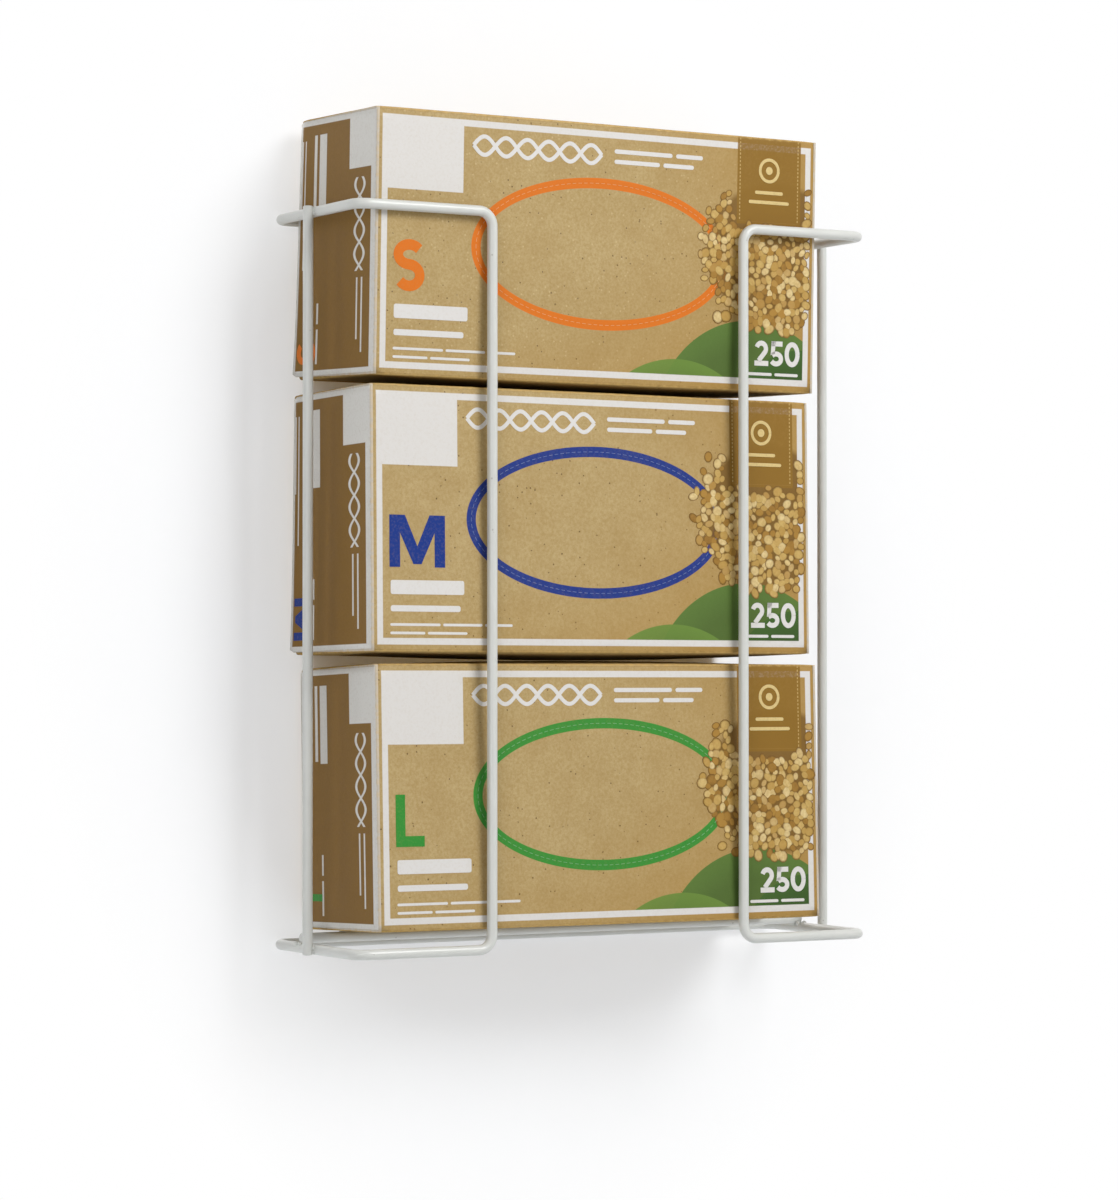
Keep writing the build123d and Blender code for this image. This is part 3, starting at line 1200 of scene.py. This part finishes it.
def pebblePaint():
    # Creams and golds by the number that each pebble drew, dark round its rim
    material, graph = newMaterial("pebbleInk")
    drawn = graph.node("ShaderNodeAttribute", {"attribute_name": "drawn"}, out=2)
    rim = graph.node("ShaderNodeAttribute", {"attribute_name": "rim"}, out=2)
    spot = graph.node("ShaderNodeTexCoord", out=3)
    fibre = graph.node("ShaderNodeTexNoise", {}, {"Vector": spot, "Scale": 700.0, "Detail": 4.0})
    ramp = graph.node("ShaderNodeValToRGB", {"stops": [
        (0.0, tone(178, 142, 72)), (0.35, tone(200, 170, 104)), (0.6, tone(220, 198, 144)),
        (0.8, tone(168, 128, 58)), (1.0, tone(140, 102, 42))]}, {"Fac": drawn})
    colour = blendTones(fibre.below(0.5, 0.12) * 0.35, ramp, tone(168, 128, 60))
    colour = blendTones((rim + fibre * 0.25).below(0.92, 0.16), tone(112, 80, 32), colour)
    finishMaterial(graph, colour, 0.42 + 0.1 * fibre, fibre, 0.00002, Specular_IOR_Level=0.2)
    return material


pebbles = pebblePaint()


def makePebbles(node, place, size, values, seed):
    left, bottom, right, top = values["area"]
    shape = bmesh.new()
    bmesh.ops.create_grid(shape, x_segments=24, y_segments=24, size=0.5)
    for v in shape.verts:
        across, upward = v.co.x + 0.5, v.co.y + 0.5
        v.co = Vector((across * (right - left) + left, upward * (top - bottom) + bottom, 0))
    mesh = bpy.data.meshes.new("pebbleArea")
    shape.to_mesh(mesh)
    shape.free()

    def build(graph, start, given):
        where = graph.node("GeometryNodeInputPosition")
        spot = graph.node("ShaderNodeSeparateXYZ", {}, {0: where})
        u, v = spot, spot.part(1)
        (middleU, middleV), (reachU, reachV) = values["middle"], values["reach"]
        heapU, heapV = (u - middleU) / reachU, (v - middleV) / reachV
        end, slope = values["fade"]
        dense = ((end - heapU * heapU - heapV * heapV) * slope).most(0.0).least(1.0)
        clear = boxDistance(u, v, front["banner"]) - values["size"][1] * values["clearance"]
        dense = dense * clear.over(0.0)
        points = graph.node("GeometryNodeDistributePointsOnFaces", {"distribute_method": "POISSON"}, {
            "Mesh": start, "Distance Min": given["Spacing"], "Density Max": 1.0,
            "Density Factor": dense, "Seed": given["Seed"]})
        pebble = graph.node("GeometryNodeMeshCone", {"fill_type": "TRIANGLE_FAN"}, {
            "Vertices": 11, "Radius Top": 0.6, "Radius Bottom": 1.0, "Depth": given["Thickness"]})
        reach = graph.node("ShaderNodeVectorMath", {"operation": "LENGTH"}, {0: where}, out=1)
        settings = {"data_type": "FLOAT", "domain": "POINT"}
        pebble = graph.node("GeometryNodeStoreNamedAttribute", settings, {
            0: pebble, "Name": "rim", "Value": reach})

        def draw(least, most, shift):
            return graph.node("FunctionNodeRandomValue", {"data_type": "FLOAT"}, {
                2: least, 3: most, "Seed": given["Seed"] + shift}, out=1)

        long = draw(given["Smallest"], given["Largest"], 0)
        stretch = graph.node("ShaderNodeCombineXYZ", {}, {
            0: long, 1: long * draw(0.62, 0.95, 3), 2: 1.0})
        turn = graph.node("ShaderNodeCombineXYZ", {}, {2: draw(0.0, 3.14, 7)})
        raised = graph.node("ShaderNodeCombineXYZ", {}, {2: draw(0.0, 0.05, 5)})
        lifted = graph.node("GeometryNodeSetPosition", {}, {0: points, "Offset": raised})
        placed = graph.node("GeometryNodeInstanceOnPoints", {}, {
            "Points": lifted, "Instance": pebble, "Scale": stretch, "Rotation": turn})
        settings = {"data_type": "FLOAT", "domain": "INSTANCE"}
        marked = graph.node("GeometryNodeStoreNamedAttribute", settings, {
            0: placed, "Name": "drawn", "Value": draw(0.0, 1.0, 9)})
        whole = graph.node("GeometryNodeRealizeInstances", {}, {0: marked})
        return graph.node("GeometryNodeSetMaterial", {}, {0: whole, "Material": pebbles})

    inputs = {"Spacing": values["spacing"], "Smallest": values["size"][0], "Largest": values["size"][1],
              "Thickness": values["thick"], "Seed": values["seed"] + seed}
    short = shortName(node)
    made = runTree(short + "Pebbles", mesh, inputs, build)
    made.transform(place @ frontPlane(size))
    addPiece(short + "Pebbles", made, smooth=False)


for node, (angles, ink, letter, lifts, seed) in settled.items():
    place, size = makeBoard(node, angles, lifts, seed, ink)
    makeInk(node, place, size, ink, letter, lifts)
    tearLine(node, place, size, ink)
    makePebbles(node, place, size, heap, seed)
    print(node, "made, panel", [round(c, 2) for c in size])
